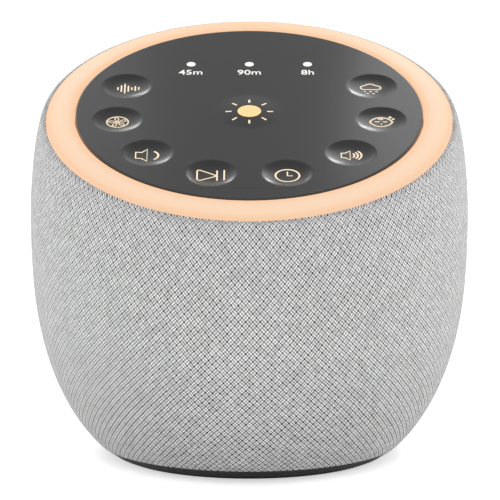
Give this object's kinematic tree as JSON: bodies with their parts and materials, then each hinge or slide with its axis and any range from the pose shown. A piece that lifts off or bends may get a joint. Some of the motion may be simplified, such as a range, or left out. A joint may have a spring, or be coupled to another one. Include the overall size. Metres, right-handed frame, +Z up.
{
  "type": "white noise sound machine",
  "caption": "Bowl-shaped white noise sound machine: a fabric-wrapped body with a slanted round top, where a glowing ring surrounds a dark panel of dished sound keys around a night light key",
  "frame": {"origin": "centre of the flat underside of the rubber foot pad, on the surface that the machine stands on", "axes": "+Z up; the front, where the slanted top is lowest, faces -Y; the power inlet at the back faces +Y; +X is to the right as seen from the front"},
  "size_m": [0.108, 0.1062, 0.1045],
  "materials": {
    "foot_rubber": "matt black rubber",
    "base_black": "fine-textured black plastic",
    "screw_steel": "plain zinc-plated steel",
    "inner_plastic": "plain dark plastic",
    "shell_plastic": "plain dark grey plastic",
    "sleeve_fabric": "light grey mesh fabric with a diagonal basket weave",
    "gasket_rubber": "black foam rubber",
    "surround_rubber": "black rubber half roll",
    "basket_steel": "black painted pressed steel",
    "ferrite": "matt dark grey ferrite",
    "yoke_steel": "plain plated steel",
    "cone_paper": "matt black coated paper",
    "coil_copper": "enamelled copper winding",
    "spider_cloth": "stiffened tan cloth",
    "frame_white": "plain white plastic",
    "board_white": "white-coated circuit board",
    "lamp_white": "warm white lamps",
    "timer_lens": "clear white light pipes",
    "ring_diffuser": "translucent milky plastic, lit warm peach from below",
    "panel_grey": "satin dark grey",
    "board_green": "green circuit board",
    "chip_black": "black moulded packages",
    "switch_metal": "grey tactile switches",
    "socket_steel": "bright plated steel",
    "lead_black": "black insulation",
    "lead_red": "red insulation",
    "key_silicone": "satin dark grey silicone"
  },
  "bodies": {
    "housing": {"foot_pad": "foot_rubber", "base_cover": "base_black", "base_screws": "screw_steel", "sound_diffuser": "inner_plastic", "speaker_deck": "inner_plastic", "grille_shell": "shell_plastic", "fabric_sleeve": "sleeve_fabric", "speaker_gasket": "gasket_rubber", "speaker_frame": "basket_steel", "speaker_screws": "screw_steel", "speaker_magnet": "ferrite", "magnet_yoke": "yoke_steel", "speaker_surround": "surround_rubber", "speaker_spider": "spider_cloth", "speaker_box": "inner_plastic", "box_screws": "screw_steel", "top_frame": "frame_white", "frame_screws": "screw_steel", "led_board": "board_white", "ring_leds": "lamp_white", "reflector_ring": "frame_white", "light_ring": "ring_diffuser", "key_panel": "panel_grey", "timer_lights": "timer_lens", "main_board": "board_green", "board_screws": "screw_steel", "board_chips": "chip_black", "key_switches": "switch_metal", "inlet_bezel": "base_black", "usb_socket": "socket_steel", "inlet_board": "board_green", "power_lead": "lead_black", "speaker_lead": "lead_red"},
    "cone_assembly": {"speaker_cone": "cone_paper", "voice_coil": "coil_copper", "dust_cap": "cone_paper"},
    "key_sound_body": {"key_sound": "key_silicone"},
    "key_fan_body": {"key_fan": "key_silicone"},
    "key_volume_down_body": {"key_volume_down": "key_silicone"},
    "key_play_pause_body": {"key_play_pause": "key_silicone"},
    "key_timer_body": {"key_timer": "key_silicone"},
    "key_volume_up_body": {"key_volume_up": "key_silicone"},
    "key_lullaby_body": {"key_lullaby": "key_silicone"},
    "key_rain_body": {"key_rain": "key_silicone"},
    "key_night_light_body": {"key_night_light": "key_silicone"}
  },
  "joints": [
    {"name": "cone_stroke", "type": "slide", "parent": "housing", "child": "cone_assembly", "axis": [0, 0, 1], "range_m": [-0.0012, 0.0012], "stiffness_N_per_m": 600, "deforming": ["speaker_surround", "speaker_spider"]},
    {"name": "key_sound_press", "type": "slide", "parent": "housing", "child": "key_sound_body", "axis": [0, 0.3843, -0.9232], "range_m": [0, 0.0008], "stiffness_N_per_m": 900},
    {"name": "key_fan_press", "type": "slide", "parent": "housing", "child": "key_fan_body", "axis": [0, 0.3843, -0.9232], "range_m": [0, 0.0008], "stiffness_N_per_m": 900},
    {"name": "key_volume_down_press", "type": "slide", "parent": "housing", "child": "key_volume_down_body", "axis": [0, 0.3843, -0.9232], "range_m": [0, 0.0008], "stiffness_N_per_m": 900},
    {"name": "key_play_pause_press", "type": "slide", "parent": "housing", "child": "key_play_pause_body", "axis": [0, 0.3843, -0.9232], "range_m": [0, 0.0008], "stiffness_N_per_m": 900},
    {"name": "key_timer_press", "type": "slide", "parent": "housing", "child": "key_timer_body", "axis": [0, 0.3843, -0.9232], "range_m": [0, 0.0008], "stiffness_N_per_m": 900},
    {"name": "key_volume_up_press", "type": "slide", "parent": "housing", "child": "key_volume_up_body", "axis": [0, 0.3843, -0.9232], "range_m": [0, 0.0008], "stiffness_N_per_m": 900},
    {"name": "key_lullaby_press", "type": "slide", "parent": "housing", "child": "key_lullaby_body", "axis": [0, 0.3843, -0.9232], "range_m": [0, 0.0008], "stiffness_N_per_m": 900},
    {"name": "key_rain_press", "type": "slide", "parent": "housing", "child": "key_rain_body", "axis": [0, 0.3843, -0.9232], "range_m": [0, 0.0008], "stiffness_N_per_m": 900},
    {"name": "key_night_light_press", "type": "slide", "parent": "housing", "child": "key_night_light_body", "axis": [0, 0.3843, -0.9232], "range_m": [0, 0.0008], "stiffness_N_per_m": 900}
  ]
}
